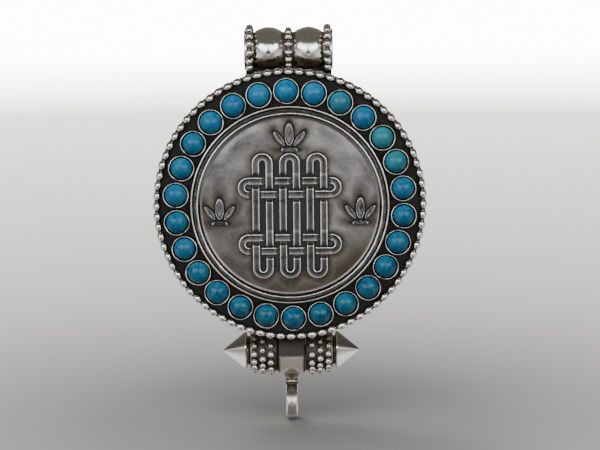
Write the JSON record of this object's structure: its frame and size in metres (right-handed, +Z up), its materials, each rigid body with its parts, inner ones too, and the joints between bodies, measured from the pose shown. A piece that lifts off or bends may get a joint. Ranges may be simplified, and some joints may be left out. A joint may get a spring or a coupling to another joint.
{
  "type": "prayer box pendant",
  "caption": "Round silver prayer box pendant with a turquoise ring, hinged back cover, fluted cord bail and a screw clasp bar carrying a swinging drop ring.",
  "frame": {"origin": "middle of the bail's bore, where the cord carries the pendant", "axes": "+X along the bail's bore, to the right as the front is seen; +Y to the back cover; +Z up, away from the drop ring"},
  "size_m": [0.0384, 0.0125, 0.0566],
  "materials": {
    "silver": "old polished silver with brown tarnish in the recesses",
    "silver_oxidised": "silver, blackened on the front plate and worn bright on the wall",
    "silver_beading": "bright beads and cup rims with black between them",
    "turquoise": "polished cabochons with faint brown matrix",
    "prayer_paper": "aged handmade paper",
    "tie_thread": "twisted cotton thread"
  },
  "bodies": {
    "case": {"front_shell": "silver_oxidised", "rim_bead_wire": "silver_beading", "stone_cups": "silver_beading", "turquoise_cabochons": "turquoise", "medallion_bezel": "silver", "medallion_plate": "silver", "bail_band": "silver", "bail_left_bead_wire": "silver_beading", "bail_middle_bead_wire": "silver_beading", "bail_right_bead_wire": "silver_beading", "bail_feet": "silver", "left_barrel": "silver", "left_barrel_foot": "silver", "left_barrel_granules": "silver_beading", "right_barrel": "silver", "right_barrel_foot": "silver", "right_barrel_granules": "silver_beading", "right_finial": "silver", "case_hinge_knuckles": "silver", "hinge_pin": "silver", "prayer_scroll": "prayer_paper", "scroll_tie": "tie_thread"},
    "cover": {"back_cover": "silver", "cover_skirt": "silver", "cover_thumb_lip": "silver", "cover_hinge_knuckle": "silver"},
    "drop": {"drop_barrel": "silver", "drop_collar": "silver", "drop_ring": "silver"},
    "clasp_screw": {"clasp_pin": "silver"},
    "screw_head": {"left_finial": "silver"}
  },
  "joints": [
    {"name": "cover_hinge", "type": "hinge", "parent": "case", "child": "cover", "pos_m": [0, 0.00445, -0.0025], "axis": [1, 0, 0], "range_deg": [0, 120]},
    {"name": "drop_swing", "type": "hinge", "parent": "case", "child": "drop", "pos_m": [0, 0, -0.0433], "axis": [1, 0, 0], "range_deg": [-70, 70]},
    {"name": "screw_travel", "type": "slide", "parent": "case", "child": "clasp_screw", "axis": [-1, 0, 0], "range_m": [0, 0.0024]},
    {"name": "screw_turn", "type": "hinge", "parent": "clasp_screw", "child": "screw_head", "pos_m": [0, 0, -0.0433], "axis": [-1, 0, 0], "range_deg": [0, 2160]}
  ],
  "couplings": [
    {"joint": "screw_turn", "follows": "screw_travel", "rad_per_m": 15708}
  ]
}
